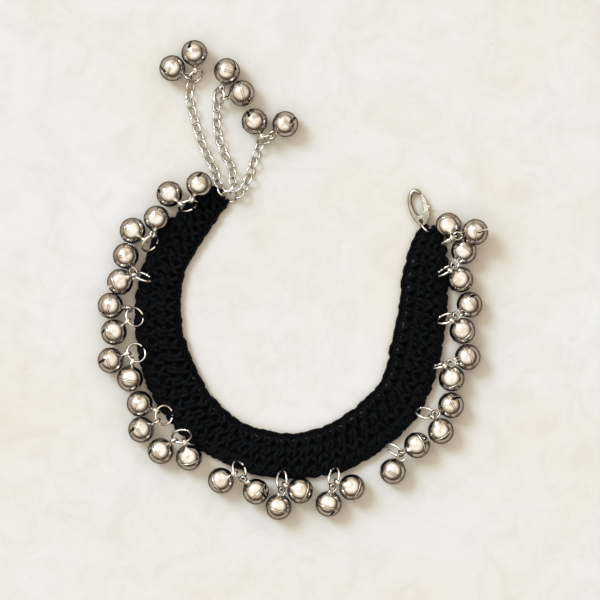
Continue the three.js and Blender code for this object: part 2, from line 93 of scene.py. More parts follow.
def run_length(points):
    """How far along its line each point lies."""
    return np.concatenate([[0], np.cumsum(np.linalg.norm(np.diff(points, axis=0), axis=1))])


class Route:
    """A centripetal Catmull-Rom curve through points, as the part uses."""

    SHARES = np.linspace(0, 1, 401)

    def __init__(self, points):
        p = np.asarray(points, float)
        self.p = np.vstack([2 * p[0] - p[1], p, 2 * p[-1] - p[-2]])
        self.count = len(p) - 1
        self.lengths = run_length(self.at(self.SHARES))

    def at(self, t):
        t = np.clip(np.atleast_1d(np.asarray(t, float)), 0, 1) * self.count
        i = np.minimum(t.astype(int), self.count - 1)
        w = (t - i)[:, None]
        a, b, c, d = (self.p[i + k] for k in range(4))
        near = lambda m, n: np.maximum(np.sum((m - n) ** 2, axis=1) ** 0.25, 1e-4)[:, None]
        d0, d1, d2 = near(a, b), near(b, c), near(c, d)
        t1 = ((b - a) / d0 - (c - a) / (d0 + d1) + (c - b) / d1) * d1
        t2 = ((c - b) / d1 - (d - b) / (d1 + d2) + (d - c) / d2) * d1
        return b + t1 * w + (-3 * b + 3 * c - 2 * t1 - t2) * w**2 + (2 * b - 2 * c + t1 + t2) * w**3

    def along(self, distance):
        """Points and tangents at these distances along the curve."""
        t = np.interp(np.atleast_1d(distance), self.lengths, self.SHARES)
        return self.at(t), unit(self.at(np.minimum(t + 1e-4, 1)) - self.at(np.maximum(t - 1e-4, 0)))


def smooth(points, step):
    """Evenly spaced points on a smooth curve through these."""
    route = Route(points)
    fine = route.at(np.linspace(0, 1, route.count * 10 + 1))
    run = run_length(fine)
    count = max(4, int(round(run[-1] / step)))
    wanted = np.linspace(0, run[-1], count + 1)
    return np.stack([np.interp(wanted, run, fine[:, k]) for k in range(3)], axis=1)


def make_mesh(name, verts, faces, uvs=None):
    """A smooth-shaded mesh from arrays in millimetres.
    faces is a list of arrays of equal-sided polygons, and uvs match them corner by corner."""
    mesh = bpy.data.meshes.new(name)
    faces = [np.asarray(f, np.int32) for f in faces]
    sizes = np.concatenate([np.full(len(f), f.shape[1], np.int32) for f in faces])
    loops = np.concatenate([f.ravel() for f in faces])
    mesh.vertices.add(len(verts))
    mesh.vertices.foreach_set("co", (np.asarray(verts, float) * MM).astype(np.float32).ravel())
    mesh.loops.add(len(loops))
    mesh.loops.foreach_set("vertex_index", loops)
    mesh.polygons.add(len(sizes))
    mesh.polygons.foreach_set("loop_start", np.concatenate([[0], np.cumsum(sizes)[:-1]]).astype(np.int32))
    mesh.polygons.foreach_set("use_smooth", np.ones(len(sizes), bool))
    if uvs is not None:
        layer = mesh.uv_layers.new(name=THREAD_UV)
        layer.data.foreach_set("uv", np.concatenate([np.asarray(u, np.float32).reshape(-1) for u in uvs]))
    mesh.update(calc_edges=True)
    mesh.validate()
    return mesh


def add_object(name, mesh):
    obj = bpy.data.objects.new(name, mesh)
    bpy.context.scene.collection.objects.link(obj)
    return obj


class Builder:
    """Collects tubes, lathes and lofts into one mesh."""

    def __init__(self):
        self.verts, self.quads, self.tris, self.quad_uv, self.tri_uv, self.count = [], [], [], [], [], 0

    def grid(self, rows, close_along=False, flip=False, u=None):
        """A surface through closed rows of points, rows[i][j], capped at its ends unless it closes along too.
        u is each row's distance along, and flip turns the faces round."""
        rows = np.asarray(rows, float)
        n, m, _ = rows.shape
        start = self.count
        self.verts.append(rows.reshape(-1, 3))
        self.count += n * m
        u = np.arange(n, dtype=float) if u is None else np.asarray(u, float)
        i = np.arange(n if close_along else n - 1)
        ii, jj = np.meshgrid(i, np.arange(m), indexing="ij")
        ii, jj = ii.ravel(), jj.ravel()
        i2, j2 = (ii + 1) % n, (jj + 1) % m
        quad = np.stack([ii * m + jj, ii * m + j2, i2 * m + j2, i2 * m + jj], axis=1) + start
        u2 = np.where(i2 > ii, u[i2], u[-1] + (u[-1] - u[-2]))
        uv = np.stack([np.stack([u[ii], jj / m], 1), np.stack([u[ii], (jj + 1) / m], 1),
                       np.stack([u2, (jj + 1) / m], 1), np.stack([u2, jj / m], 1)], axis=1)
        if flip:
            quad, uv = quad[:, ::-1], uv[:, ::-1]
        self.quads.append(quad)
        self.quad_uv.append(uv)
        if not close_along:
            for row, turn in ((0, True), (n - 1, False)):
                centre = self.count
                self.verts.append(rows[row].mean(axis=0)[None])
                self.count += 1
                a = start + row * m + np.arange(m)
                b = start + row * m + (np.arange(m) + 1) % m
                tri = np.stack([a, b, np.full(m, centre)], axis=1)
                self.tris.append(tri[:, ::-1] if turn != flip else tri)
                self.tri_uv.append(np.full((m, 3, 2), [u[row], 0.5]))
        return self

    def tube(self, path, radius=None, sides=12, closed=False, section=None, start_normal=(0.0, 0.0, 1.0),
             pressed=False):
        """A tube along a path. radius is a number or a function of (distance, angle), or else section holds the
        outline of a strip. pressed flattens the tube where it meets the surface below."""
        path = np.asarray(path, float)
        n = len(path)
        if closed:
            tangent = unit(np.roll(path, -1, axis=0) - np.roll(path, 1, axis=0))
        else:
            tangent = unit(np.gradient(path, axis=0))
        first = np.array(start_normal)
        if abs(first @ tangent[0]) > 0.95:
            first = np.array([1.0, 0.0, 0.0])
        normal = np.zeros_like(path)
        normal[0] = unit(first - tangent[0] * (first @ tangent[0]))
        current = normal[0]
        for k in range(1, n):
            current = current - tangent[k] * (current @ tangent[k])
            current = current / math.sqrt(current @ current)
            normal[k] = current
        if closed:
            # spread what the frame has turned by over the whole loop, so that its ends meet
            last = unit(normal[-1] - tangent[0] * (normal[-1] @ tangent[0]))
            angle = math.atan2(np.cross(last, normal[0]) @ tangent[0], last @ normal[0])
            turn = angle * np.arange(n) / n
            binormal = np.cross(tangent, normal)
            normal = normal * np.cos(turn)[:, None] + binormal * np.sin(turn)[:, None]
        binormal = np.cross(tangent, normal)
        run = run_length(path)
        if section is None:
            phi = 2 * np.pi * np.arange(sides) / sides
            r = radius(run[:, None], phi[None]) if callable(radius) else np.full((n, sides), radius)
            a, b = r * np.cos(phi), r * np.sin(phi)
        else:
            a, b = section[:, 0][None], section[:, 1][None]
        rows = path[:, None] + a[:, :, None] * normal[:, None] + b[:, :, None] * binormal[:, None]
        if pressed:
            z = rows[:, :, 2]
            squashed = PRESSED_BELOW * np.exp((np.minimum(z, PRESSED_BELOW) - PRESSED_BELOW) / PRESSED_BELOW)
            rows[:, :, 2] = np.where(z < PRESSED_BELOW, squashed, z)
        return self.grid(rows, close_along=closed, u=run)

    def mesh(self, name):
        faces, uvs = (self.quads, self.tris), (self.quad_uv, self.tri_uv)
        return make_mesh(name, np.concatenate(self.verts), [np.concatenate(f) for f in faces],
                         [np.concatenate(u) for u in uvs])


def ring_frame(place, heading, rise, lean):
    """A ring's centre and its axes, as in the part."""
    h, r, l = (math.radians(x) for x in (heading, rise, lean))
    flat, side = np.array([math.cos(h), math.sin(h), 0]), np.array([-math.sin(h), math.cos(h), 0])
    up = np.array([0, 0, 1.0])
    u = flat * math.cos(r) + up * math.sin(r)
    steep = -flat * math.sin(r) + up * math.cos(r)
    v = steep * math.cos(l) + side * math.sin(l)
    return np.array(place, float) + MIDDLE, u, v, np.cross(u, v)


def volume_centroid(name):
    """Centre of volume of a CAD node, and its points, in millimetres."""
    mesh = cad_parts[name].data
    co = np.zeros(len(mesh.vertices) * 3)
    mesh.vertices.foreach_get("co", co)
    co = co.reshape(-1, 3) / MM
    mesh.calc_loop_triangles()
    tri = np.array([t.vertices[:] for t in mesh.loop_triangles])
    a, b, c = co[tri[:, 0]], co[tri[:, 1]], co[tri[:, 2]]
    v = np.einsum("ij,ij->i", a, np.cross(b, c)) / 6
    return (v[:, None] * (a + b + c) / 4).sum(0) / v.sum(), co


def bell_axes(name):
    """A bell's centre, the way to its strap, and the way its strap's hole looks.
    The two points farthest from its middle are the corners of the strap's tip."""
    inside, co = volume_centroid(name)
    far = np.argsort(-np.linalg.norm(co - inside, axis=1))
    first = co[far[0]]
    second = next(co[k] for k in far[1:] if np.linalg.norm(co[k] - first) > SAME_CORNER)
    tip = (first + second) / 2
    axis = unit(tip - inside)
    hole = first - second
    hole = unit(hole - axis * (hole @ axis))
    return tip - BELL_TIP * axis, axis, hole


def placed(centre, x, y, z):
    """The matrix, in metres, that takes a mesh made about its own origin to this place and these axes."""
    m = Matrix.Identity(4)
    for k, column in enumerate((x, y, z)):
        for row in range(3):
            m[row][k] = column[row]
    for row in range(3):
        m[row][3] = centre[row] * MM
    return m


def circle_axes(a, b, c):
    """Centre and axes of the circle through three points."""
    ab, ac = b - a, c - a
    normal = np.cross(ab, ac)
    centre = a + (np.cross(normal, ab) * (ac @ ac) + np.cross(ac, normal) * (ab @ ab)) / (2 * normal @ normal)
    x, z = unit(a - centre), unit(normal)
    return centre, x, np.cross(z, x), z


# ---------------------------------------------------------------- materials

class Nodes:
    """The node tree of a material or a world, emptied, with short ways to add to it."""

    def __init__(self, owner):
        owner.use_nodes = True
        self.owner, self.nodes, self.links = owner, owner.node_tree.nodes, owner.node_tree.links
        self.nodes.clear()

    def add(self, kind, sockets=None, **settings):
        """A node with these settings. A socket gets a value, or a link from another node's output."""
        made = self.nodes.new(kind)
        for key, value in settings.items():
            setattr(made, key, value)
        for key, value in (sockets or {}).items():
            if isinstance(value, bpy.types.NodeSocket):
                self.links.new(value, made.inputs[key])
            else:
                made.inputs[key].default_value = value
        return made

    def noise(self, vector, scale, detail, roughness, distortion=0.0):
        return self.add("ShaderNodeTexNoise", {
            "Vector": vector, "Scale": scale, "Detail": detail, "Roughness": roughness, "Distortion": distortion,
        }).outputs["Fac"]

    def ramp(self, factor, stops):
        made = self.add("ShaderNodeValToRGB", {0: factor})
        elements = made.color_ramp.elements
        while len(elements) < len(stops):
            elements.new(0.5)
        for element, (position, colour) in zip(elements, stops):
            element.position, element.color = position, (*colour, 1)
        return made.outputs[0]

    def mix(self, factor, a, b, blend="MIX"):
        """Two colours mixed: each one a triple or another node's output."""
        a, b = ((*colour, 1) if isinstance(colour, tuple) else colour for colour in (a, b))
        sockets = {"Factor": factor, 6: a, 7: b}
        return self.add("ShaderNodeMix", sockets, data_type="RGBA", blend_type=blend).outputs[2]

    def bumps(self, *layers):
        """Bumps one on another, each one (height, strength, distance in metres)."""
        normal = None
        for height, strength, distance in layers:
            sockets = {"Height": height, "Strength": strength, "Distance": distance}
            if normal is not None:
                sockets["Normal"] = normal
            normal = self.add("ShaderNodeBump", sockets).outputs[0]
        return normal

    def surface(self, sockets):
        """The material, finished with a principled shader."""
        shader = self.add("ShaderNodeBsdfPrincipled", sockets)
        self.add("ShaderNodeOutputMaterial", {0: shader.outputs[0]})
        return self.owner


def thread_material(name, gloss=0.05):
    """Black mercerised cotton: fine fibres along the twist, slightly uneven dye, a faint cool sheen."""
    tree = Nodes(bpy.data.materials.new(name))
    along = tree.add("ShaderNodeUVMap", uv_map=THREAD_UV).outputs[0]
    place = tree.add("ShaderNodeTexCoord").outputs["Object"]
    stretched = tree.add("ShaderNodeMapping", {
        "Vector": along, "Rotation": (0, 0, math.radians(4)), "Scale": (0.55, 16.0, 1.0),
    }).outputs[0]
    fibres = tree.noise(stretched, 2.2, 4.0, 0.6)
    knots = tree.noise(place, 900.0, 3.0, 0.7)
    dye = tree.ramp(tree.noise(place, 130.0, 3.0, 0.55), [
        (0.30, (0.0002, 0.0003, 0.0004)), (0.55, (0.0005, 0.0006, 0.0008)), (0.75, (0.0014, 0.0015, 0.0018)),
    ])
    strands = tree.ramp(fibres, [(0.35, (0.60, 0.60, 0.60)), (0.70, (1.45, 1.45, 1.45))])
    return tree.surface({
        "Base Color": tree.mix(1.0, dye, strands, "MULTIPLY"),
        "Roughness": 0.36,
        "Specular IOR Level": gloss,
        "Sheen Weight": 0.006,
        "Sheen Roughness": 0.45,
        "Sheen Tint": (0.55, 0.62, 0.75, 1),
        "Normal": tree.bumps((fibres, 1.0, 0.00040), (knots, 0.8, 0.00050)),
    })


def metal_material(name, colour, dark, rough, scale=1.0):
    """Nickel plate: a soft polish, faint handling marks and fine scratches, duller in patches.
    Each object gets its own share of the pattern, and brown where its mesh says so: tarnish and painted shade
    beside a bell's rim, and a painted reflection on its lower shell."""
    tree = Nodes(bpy.data.materials.new(name))
    place = tree.add("ShaderNodeTexCoord").outputs["Object"]
    own = tree.add("ShaderNodeObjectInfo").outputs["Random"]
    offset = tree.add("ShaderNodeVectorMath", {0: (0.37, 0.71, 0.53), "Scale": own}, operation="SCALE").outputs[0]
    shifted = tree.add("ShaderNodeVectorMath", {0: place, 1: offset}, operation="ADD").outputs[0]
    patches = tree.noise(shifted, 210.0 * scale, 4.0, 0.55, 0.6)
    scratches = tree.noise(shifted, 1500.0 * scale, 3.0, 0.6)
    bright = tuple(min(1, c * 1.06) for c in colour)
    tone = tree.ramp(patches, [(0.32, dark), (0.52, colour), (0.80, bright)])
    tarnish_shade_and_reflection = tree.add("ShaderNodeAttribute", attribute_name=TARNISH_SHADE_AND_REFLECTION).outputs["Fac"]
    polish = tree.add("ShaderNodeMapRange", {
        "Value": patches, "From Min": 0.3, "From Max": 0.75, "To Min": rough * 1.35, "To Max": rough * 0.8,
    }).outputs[0]
    return tree.surface({
        # brown from the bells' point attribute: tarnish and painted shade beside the rim, a painted reflection on
        # the lower shell
        "Base Color": tree.mix(tarnish_shade_and_reflection, tone, (0.10, 0.062, 0.036)),
        "Metallic": 1.0,
        "Specular Tint": (0.05, 0.04, 0.03, 1),
        "Roughness": polish,
        "Normal": tree.bumps((scratches, 0.10, 0.00006), (patches, 0.12, 0.0004)),
    })


def plaster_material():
    """Pale lime plaster with a faint warm mottle, a few specks and a trowelled unevenness."""
    tree = Nodes(bpy.data.materials.new("plaster"))
    place = tree.add("ShaderNodeTexCoord").outputs["Object"]
    cloud = tree.noise(place, 9.0, 5.0, 0.62, 0.8)
    grain = tree.noise(place, 420.0, 4.0, 0.6)
    mottle = tree.ramp(cloud, [
        (0.30, (0.390, 0.364, 0.342)), (0.50, (0.394, 0.382, 0.374)), (0.72, (0.392, 0.393, 0.402)),
    ])
    cells = tree.add("ShaderNodeTexVoronoi", {"Vector": place, "Scale": 85.0, "Randomness": 1.0})
    specks = tree.ramp(cells.outputs["Distance"], [(0.035, (0.90, 0.88, 0.86)), (0.075, (1, 1, 1))])
    trowelled = tree.ramp(tree.noise(place, 46.0, 5.0, 0.66, 1.4), [
        (0.34, (0.950, 0.938, 0.922)), (0.56, (1.0, 1.0, 1.0)),
    ])
    return tree.surface({
        "Base Color": tree.mix(1.0, tree.mix(0.7, mottle, specks, "MULTIPLY"), trowelled, "MULTIPLY"),
        "Roughness": 0.85,
        "Specular IOR Level": 0.2,
        "Normal": tree.bumps((grain, 0.12, 0.0006), (cloud, 0.18, 0.006)),
    })


thread = thread_material("black_thread")
# a less glossy copy of the thread for the core, so the gaps between the loops read dark: painted shade
gap_shade_thread = thread_material("thread_with_painted_gap_shade", gloss=0.02)
nickel = metal_material("bright_nickel", (0.480, 0.472, 0.465), (0.36, 0.31, 0.26), 0.14)
wire = metal_material("nickel_wire", (0.60, 0.60, 0.60), (0.43, 0.41, 0.39), 0.16, scale=2.0)
steel = metal_material("clasp_nickel", (0.27, 0.262, 0.255), (0.17, 0.162, 0.155), 0.20, scale=1.5)
gate = metal_material("gate_nickel", (0.42, 0.412, 0.405), (0.28, 0.272, 0.265), 0.18, scale=1.5)
pellet_steel = metal_material("pellet_steel", (0.40, 0.38, 0.36), (0.25, 0.22, 0.20), 0.35, scale=3.0)


# ---------------------------------------------------------------- the crocheted band

class Band:
    """Where a stitch goes: distance along the band, share of its width from the inner edge, height."""

    def __init__(self):
        line = Route([(x, y) for x, y, _ in BAND_ROWS])
        widths = Route([(float(i), w) for i, (_, _, w) in enumerate(BAND_ROWS)])
        t = np.linspace(0, 1, 3001)
        self.p = line.at(t) + MIDDLE[:2]
        self.s = run_length(self.p)
        uneven = 0.014 * np.sin(self.s * 0.51 + 1.0) + 0.012 * np.sin(self.s * 1.03)
        uneven = uneven + 0.008 * np.sin(self.s * 0.19 + 2.0)
        self.half = widths.at(t)[:, 1] / 2 * (1 + uneven)
        tangent = unit(np.gradient(self.p, axis=0))
        self.across = np.stack([-tangent[:, 1], tangent[:, 0]], axis=1)
        self.length = self.s[-1]

    def samples(self):
        """Distances along the whole band, close together."""
        return np.linspace(0, self.length, 2400)

    def width(self, s):
        return 2 * np.interp(s, self.s, self.half)

    def thickness(self, s):
        return BAND_THICKNESS * np.minimum(1, 0.72 + np.interp(s, self.s, self.half) / 30)

    def place(self, s, g, z):
        """g runs from 0 at the inner edge to 1 at the outer edge."""
        s, g, z = np.broadcast_arrays(*(np.atleast_1d(np.asarray(x, float)) for x in (s, g, z)))
        over = np.where(s < 0, s, np.where(s > self.length, s - self.length, 0))
        half = np.interp(s, self.s, self.half)
        x, y = (np.interp(s, self.s, self.p[:, k]) for k in (0, 1))
        ax, ay = (np.interp(s, self.s, self.across[:, k]) for k in (0, 1))
        side = (1 - 2 * g) * half
        return np.stack([x + ax * side + ay * over, y + ay * side - ax * over, z], axis=-1)


band = Band()
YARN = 1.17  # radius of the thread
EDGING = 3.1  # width of the chain along the inner edge
ROW_ON = [(0.0, 0.1), (8.2, 11.0), (12.6, 15.6), (16.4, 19.4)]  # band widths between which each row joins in
PITCH = 6.3  # length of one stitch
ROW_MARGIN, CHAIN_MARGIN = 0.6, 0.8  # bare length left at each end of a row, and of an edge's chain


def row_weights(s):
    w = band.width(s)
    out = []
    for low, high in ROW_ON:
        x = np.clip((w - low) / (high - low), 0, 1)
        out.append(x * x * (3 - 2 * x))
    return np.array(out)


def row_line(row, s):
    """Share of the width where a row starts: row 0 is the first row after the edging."""
    weights = row_weights(s)
    total = weights.sum(axis=0)
    edge = np.minimum(EDGING / band.width(s), 0.36)
    return edge + (1 - edge) * weights[:row].sum(axis=0) / total


def yarn_radius(base, seed, lay=4.6):
    """Three plies laid up together, and a little unevenness along the thread."""
    rng = random.Random(seed)
    a, b, c, d = (rng.uniform(0, 6.28) for _ in range(4))

    def radius(run, phi):
        ply = 0.10 * np.abs(np.cos(1.5 * (phi - 2 * np.pi * run / lay))) - 0.06
        slub = 0.09 * np.sin(run * 0.83 + a) + 0.09 * np.sin(run * 2.17 + b) + 0.045 * np.sin(run * 4.7 + d)
        squashed = 0.09 * np.sin(2 * phi + run * 1.31 + c) + 0.07 * np.sin(3 * phi - run * 2.3 + d)
        squashed = squashed + 0.05 * np.sin(5 * phi + run * 3.9)
        return base * (1 + ply + slub + squashed)

    return radius


# One single-crochet stitch, from one stitch's end to the next: along (0 to 1), up the row (0 to 1), out (mm).
STITCH = [
    (0.00, 0.98, -0.75),
    (0.16, 0.62, -1.45),
    (0.38, 0.12, -1.35),
    (0.47, -0.06, -0.10),
    (0.36, 0.10, 1.20),
    (0.20, 0.44, 1.58),
    (0.10, 0.80, 1.20),
    (0.26, 1.04, 0.45),
    (0.56, 1.10, 0.30),
    (0.84, 0.96, 0.75),
    (0.90, 0.66, 1.40),
    (0.76, 0.30, 1.58),
    (0.60, 0.02, 1.05),
    (0.55, -0.08, -0.30),
    (0.64, 0.16, -1.40),
    (0.56, 0.56, -1.55),
    (0.34, 0.88, -0.95),
    (0.18, 1.12, -0.05),
    (0.40, 1.24, 0.70),
    (0.72, 1.20, 0.60),
]
# One chain stitch: along (0 to 1), sideways (mm), out (mm).
CHAIN = [
    (0.00, 0.00, -0.55),
    (0.10, 0.42, 0.15),
    (0.42, 0.86, 0.55),
    (0.86, 0.84, 0.45),
    (1.17, 0.36, 0.10),
    (1.20, -0.30, 0.05),
    (0.92, -0.80, 0.45),
    (0.48, -0.88, 0.55),
    (0.14, -0.46, 0.15),
    (0.06, -0.05, -0.60),
    (0.40, 0.00, -1.15),
    (0.76, 0.00, -1.10),
]


def row_points(row, seed):
    """The thread of one row of stitches."""
    rng = random.Random(seed)
    s = band.samples()
    low, high = row_line(row, s), row_line(row + 1, s)
    on = row_weights(s)[row] > 0.35
    first, last = s[on][0], s[on][-1]
    run = run_length(band.place(s, (low + high) / 2, 0))
    start, end = np.interp(first, s, run), np.interp(last, s, run)
    count = max(2, int(round((end - start - 2 * ROW_MARGIN) / PITCH)))
    pitch = (end - start - 2 * ROW_MARGIN) / count
    facing = 1 if row % 2 == 0 else -1
    points = []
    for i in range(count):
        swell = rng.uniform(0.80, 1.18)
        tilt = rng.uniform(-0.10, 0.10)
        lift = rng.uniform(-0.05, 0.05)
        for u, v, w in STITCH:
            share = i + u + tilt * (v - 0.5) + rng.uniform(-0.032, 0.032)
            at = np.interp(start + ROW_MARGIN + pitch * share, run, s)
            a, b = np.interp(at, s, low), np.interp(at, s, high)
            g = a + (b - a) * (v + lift + rng.uniform(-0.035, 0.035))
            thick = band.thickness(at)
            # loops stand less high near the edges
            edge = min(1, 0.62 + 0.38 * min(g, 1 - g) * band.width(at) / 3.2)
            z = thick / 2 + facing * w * swell * edge * (thick - 2 * YARN) / 3.2 * 0.93
            points.append(band.place(at, min(g, 1.02), min(max(z, YARN * 0.98), thick))[0])
    return points


def chain_points(offset, target_pitch, seed, outer, turn=0.0):
    """A chain along one edge, its middle this far in from the edge, turned this much about its own length."""
    rng = random.Random(seed)
    s = band.samples()
    g = offset / band.width(s)
    run = run_length(band.place(s, 1 - g if outer else g, 0))
    count = int(round((run[-1] - 2 * CHAIN_MARGIN) / target_pitch))
    pitch = (run[-1] - 2 * CHAIN_MARGIN) / count
    c, n = math.cos(turn), math.sin(turn)
    points = []
    for i in range(count):
        swell, drift = rng.uniform(0.84, 1.2), rng.uniform(-0.28, 0.28)
        for u, side, out in CHAIN:
            at = np.interp(CHAIN_MARGIN + pitch * (i + u - 0.1 + rng.uniform(-0.03, 0.03)), run, s)
            lateral, up = (side * c - out * n) * swell, (side * n + out * c) * swell
            share = (offset + drift + lateral * (-1 if outer else 1)) / band.width(at)
            z = 0.47 * band.thickness(at) + up + rng.uniform(-0.05, 0.05)
            points.append(band.place(at, 1 - share if outer else share, max(z, 0.8))[0])
    return points


def make_core():
    """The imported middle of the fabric, behind the loops."""
    rows = []
    for at in np.linspace(1.5, band.length - 1.5, 260):
        w, t = band.width(at), band.thickness(at)
        # a little open behind the edging along the foot and the right arm
        start = EDGING + 1.05 * float(np.interp(at / band.length, [0.30, 0.42, 1.0], [0, 1, 1]))
        inner, outer = min(start / w, 0.42), 1 - min(2.2 / w, 0.3)
        ring = [(inner, 0.48), (inner + 0.03, 0.38), (outer - 0.03, 0.38),
                (outer, 0.48), (outer - 0.03, 0.56), (inner + 0.03, 0.56)]
        wave = 0.03 * math.sin(at * 1.1)
        rows.append([band.place(at, g, t * (z + wave))[0] for g, z in ring])
    return add_object("crochet_core", Builder().grid(rows, flip=True).mesh("crochet_core"))


def make_strand(name, points, step, radius, sides):
    """One length of thread along these points."""
    shape = Builder().tube(smooth(points, step), radius, sides=sides, pressed=True)
    return add_object(name, shape.mesh(name))


def make_band():
    pieces = []
    for row in range(len(ROW_ON)):
        points = row_points(row, 40 + row)
        pieces.append(make_strand(f"crochet_row_{row + 1}", points, 0.62, yarn_radius(YARN, row), 12))
        if row == 0:
            pieces.append(make_core())
    for name, points, radius in (
        ("crochet_inner_edge", chain_points(1.45, 6.76, 71, False), yarn_radius(0.80, 11, 3.8)),
        ("crochet_outer_edge", chain_points(1.75, 6.3, 72, True, turn=0.35), yarn_radius(0.98, 12, 4.2)),
    ):
        pieces.append(make_strand(name, points, 0.55, radius, 10))
    for piece in pieces:
        # the core gets the less glossy copy of the thread, painted shade in the gaps behind the loops
        piece.data.materials.append(gap_shade_thread if piece.name == "crochet_core" else thread)
        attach(piece, "necklace")
    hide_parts("band")


make_band()


# ---------------------------------------------------------------- bells

BALL, RIM, SHEET = 6.34, 6.50, 0.42  # radius of the ball and of its rim, and thickness of the metal
BEAD = (0.26, 0.32)  # half the width and half the height of the rim's bead
SLOT_HALF = 0.55  # half the width of the slot
SLOT_TOP = 1.25  # how far below the rim the slot begins
EYE_RADIUS, EYE_DEPTH = 0.98, 2.2  # the round hole at each end of the slot, and how far it is below the rim
STRAP_HALF = 0.30  # half the thickness of the strap
PELLET, PELLET_GAP = 1.5, 0.05  # radius of the loose pellet, and its gap to the shell
HALF_ROWS = (0.0, 0.035, 0.10, 0.19, 0.30, 0.42, 0.54, 0.66, 0.78, 0.89, 0.97)  # from the slot to the pole
STRAP_LOOP = [
    (-0.85, 6.2), (-1.15, 7.0), (-1.62, 7.9), (-1.86, 8.8), (-1.70, 9.7), (-1.12, 10.45), (0, 10.78),
    (1.12, 10.45), (1.70, 9.7), (1.86, 8.8), (1.62, 7.9), (1.15, 7.0), (0.85, 6.2),
]


def lathe(builder, profile, around, squeeze=lambda y: (1, 1)):
    """A closed surface of revolution about Y through (radius, y) points. squeeze(y) scales it along X and Z."""
    phi = 2 * np.pi * np.arange(around) / around
    rows = []
    for r, y in profile:
        wide, deep = squeeze(y)
        rows.append(np.stack([r * np.cos(phi) * wide, np.full(around, y), -r * np.sin(phi) * deep], axis=1))
    builder.grid(rows, close_along=True)


def on_arc(radius, *degrees):
    return [(radius * math.cos(math.radians(a)), radius * math.sin(math.radians(a))) for a in degrees]


def neck_squeeze(y):
    """Round at the shoulder, and flat at the top of the neck."""
    x = min(max((y - 5.0) / 2.3, 0), 1)
    x = x * x * (3 - 2 * x)
    return (1 + 0.30 * x, 1 - 0.56 * x)


def slot_edge(angle):
    """Half the slot's opening at this place along it: a slit with a round hole at each end."""
    depth = BALL * math.sin(angle)
    if depth < SLOT_TOP:
        return 0.0
    eye_x = math.sqrt(BALL**2 - EYE_DEPTH**2)
    away = math.hypot(abs(BALL * math.cos(angle)) - eye_x, depth - EYE_DEPTH)
    eye = math.sqrt(max(0.0, EYE_RADIUS**2 - away**2))
    return max(eye, SLOT_HALF * min(1, max(0, (depth - 2.0) / 0.5)))


def shell_row(share, radius, sign):
    """A row of the lower shell along the slot, this share of the way from the slot's edge to the shell's pole."""
    angles = np.radians(np.linspace(0, 180, 45))
    lows = [math.asin(min(slot_edge(angle) / radius, 1)) for angle in angles]
    z = np.array([sign * radius * math.sin(low + (math.pi / 2 - low) * share) for low in lows])
    flat = np.sqrt(np.maximum(radius**2 - z**2, 0))
    return np.stack([flat * np.cos(angles), np.minimum(-flat * np.sin(angles), -0.02), z], axis=1)


def bell_mesh(name, seed, slot_turn):
    """A bell in its own frame: strap at +Y, slot below, the strap's hole looking along Z."""
    rng = random.Random(seed)
    shape = Builder()
    inner = BALL - SHEET
    # upper shell: from the rim over the shoulder into the neck, and back inside
    outside = on_arc(BALL, 1.5, 6, 11, 17, 23, 29, 35, 41, 46, 50.5)
    outside += [(3.45, 5.28), (2.92, 5.58), (2.40, 5.88), (1.95, 6.20), (1.60, 6.55), (1.36, 6.95), (1.24, 7.30)]
    inside = [(0.75, 7.25), (1.0, 6.3), (2.2, 5.2)] + on_arc(inner, 50, 38, 25, 12, 1.5)
    lathe(shape, outside + inside, 44, neck_squeeze)
    # rim: the upper shell's edge folded over the lower one
    bead = []
    for k in range(8):
        a = 2 * math.pi * k / 8
        bead.append((RIM - BEAD[0] + BEAD[0] * math.cos(a), BEAD[1] * math.sin(a)))
    lathe(shape, bead, 48)
    # lower shell: rows along the slot, so that its edge is a line of the mesh
    turn = np.array(Matrix.Rotation(slot_turn, 3, "Y"))
    for sign in (1, -1):
        rows = [shell_row(share, BALL, sign) for share in HALF_ROWS[::-1]]
        rows += [shell_row(share, inner, sign) for share in HALF_ROWS]
        shape.grid((np.array(rows) @ turn.T).transpose(1, 0, 2), flip=(sign < 0))
    # strap: a flat strip bent into a loop, both ends drawn into the neck
    half_width = rng.uniform(0.62, 0.74)
    corner = []
    for k in range(12):
        a = 2 * math.pi * (k + 0.5) / 12
        c, s = math.cos(a), math.sin(a)
        corner.append((math.copysign(abs(c) ** 0.6, c) * half_width, math.copysign(abs(s) ** 0.6, s) * STRAP_HALF))
    shape.tube(smooth([(x, y, 0) for x, y in STRAP_LOOP], 0.42), section=np.array(corner))
    mesh = shape.mesh(name)
    # brown painted into the colour: beside the rim, partly tarnish in the groove and partly painted shade; thinly
    # on the lower shell, a painted reflection; only faintly on the rim's bead
    co = np.empty(len(mesh.vertices) * 3)
    mesh.vertices.foreach_get("co", co)
    r, y = np.hypot(co[0::3], co[2::3]) / MM, co[1::3] / MM
    beside = 0.60 * np.exp(-((np.abs(y) / 0.85) ** 2)) + np.where(y < 0, 0.10, 0.0)
    mesh.attributes.new(TARNISH_SHADE_AND_REFLECTION, "FLOAT", "POINT").data.foreach_set("value", np.where(r > BALL + 0.06, 0.05, beside))
    return mesh


bell_names = sorted(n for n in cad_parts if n.startswith("bell_"))
bell_frames = {n: bell_axes(n) for n in bell_names}
SHAPES = [bell_mesh(f"bell_shape_{k}", 5 + k, math.radians(turn)) for k, turn in enumerate((0, 38, 90, -40))]
for mesh in SHAPES:
    mesh.materials.append(nickel)


